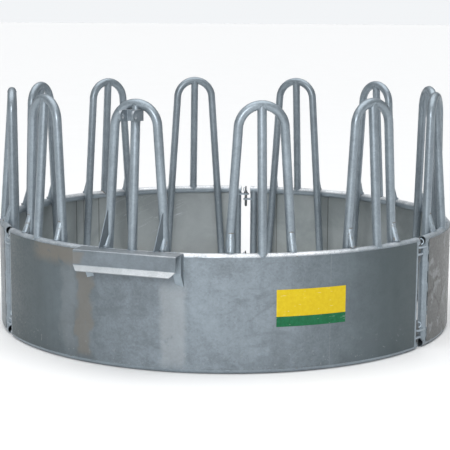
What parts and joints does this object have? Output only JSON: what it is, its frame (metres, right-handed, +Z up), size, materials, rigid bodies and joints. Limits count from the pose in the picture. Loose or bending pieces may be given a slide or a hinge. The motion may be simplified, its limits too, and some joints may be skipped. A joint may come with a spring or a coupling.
{
  "type": "round bale feeder",
  "caption": "Galvanised steel ring feeder for round bales: hinged skirted segments with tube loops above, drop pins at the joints and a tractor hook bar.",
  "frame": {"origin": "centre of the ring, on the ground under the bottom rails", "axes": "+Z up; the front segment, with the hook bar, is centred on -Y; +X to the right seen from the front"},
  "size_m": [2.3562, 2.4617, 1.2191],
  "materials": {
    "tube": "hot-dip galvanised tube, matt grey with a fine spangle",
    "sheet": "hot-dip galvanised sheet, mottled, stained and scratched",
    "plate": "hot-dip galvanised plate",
    "pin": "zinc-plated drop pin, worn",
    "label": "blank vinyl label, yellow over a green band"
  },
  "bodies": {
    "front_segment": {"front_top_rail": "tube", "front_bottom_rail": "tube", "front_skirt_sheet": "sheet", "front_end_post_low": "tube", "front_end_post_high": "tube", "front_loop_1": "tube", "front_centre_bar_1": "tube", "front_loop_2": "tube", "front_centre_bar_2": "tube", "front_loop_3": "tube", "front_centre_bar_3": "tube", "front_loop_4": "tube", "front_centre_bar_4": "tube", "front_leg_gussets": "plate", "front_joint_lugs_low": "plate", "front_joint_lugs_high": "plate", "front_label": "label", "drawbar_hook_bar": "plate", "hook_spacers": "plate", "hook_braces": "plate", "top_link_clevis": "plate"},
    "right_segment": {"right_top_rail": "tube", "right_bottom_rail": "tube", "right_skirt_sheet": "sheet", "right_end_post_low": "tube", "right_end_post_high": "tube", "right_loop_1": "tube", "right_centre_bar_1": "tube", "right_loop_2": "tube", "right_centre_bar_2": "tube", "right_loop_3": "tube", "right_centre_bar_3": "tube", "right_loop_4": "tube", "right_centre_bar_4": "tube", "right_leg_gussets": "plate", "right_joint_lugs_low": "plate", "right_joint_lugs_high": "plate"},
    "left_segment": {"left_top_rail": "tube", "left_bottom_rail": "tube", "left_skirt_sheet": "sheet", "left_end_post_low": "tube", "left_end_post_high": "tube", "left_loop_1": "tube", "left_centre_bar_1": "tube", "left_loop_2": "tube", "left_centre_bar_2": "tube", "left_loop_3": "tube", "left_centre_bar_3": "tube", "left_loop_4": "tube", "left_centre_bar_4": "tube", "left_leg_gussets": "plate", "left_joint_lugs_low": "plate", "left_joint_lugs_high": "plate"},
    "right_top_pin": {"right_joint_pin_top": "pin"},
    "right_bottom_pin": {"right_joint_pin_bottom": "pin"},
    "back_top_pin": {"back_joint_pin_top": "pin"},
    "back_bottom_pin": {"back_joint_pin_bottom": "pin"},
    "left_top_pin": {"left_joint_pin_top": "pin"},
    "left_bottom_pin": {"left_joint_pin_bottom": "pin"}
  },
  "joints": [
    {"name": "left_segment_swing", "type": "hinge", "parent": "front_segment", "child": "left_segment", "pos_m": [-1.00026, -0.5775, 0.28], "axis": [0, 0, 1], "range_deg": [0, 90]},
    {"name": "right_segment_swing", "type": "hinge", "parent": "front_segment", "child": "right_segment", "pos_m": [1.00026, -0.5775, 0.28], "axis": [0, 0, -1], "range_deg": [0, 90]},
    {"name": "right_top_pin_lift", "type": "slide", "parent": "right_segment", "child": "right_top_pin", "axis": [0, 0, 1], "range_m": [0, 0.12]},
    {"name": "right_bottom_pin_lift", "type": "slide", "parent": "right_segment", "child": "right_bottom_pin", "axis": [0, 0, 1], "range_m": [0, 0.12]},
    {"name": "back_top_pin_lift", "type": "slide", "parent": "left_segment", "child": "back_top_pin", "axis": [0, 0, 1], "range_m": [0, 0.12]},
    {"name": "back_bottom_pin_lift", "type": "slide", "parent": "left_segment", "child": "back_bottom_pin", "axis": [0, 0, 1], "range_m": [0, 0.12]},
    {"name": "left_top_pin_lift", "type": "slide", "parent": "front_segment", "child": "left_top_pin", "axis": [0, 0, 1], "range_m": [0, 0.12]},
    {"name": "left_bottom_pin_lift", "type": "slide", "parent": "front_segment", "child": "left_bottom_pin", "axis": [0, 0, 1], "range_m": [0, 0.12]}
  ]
}
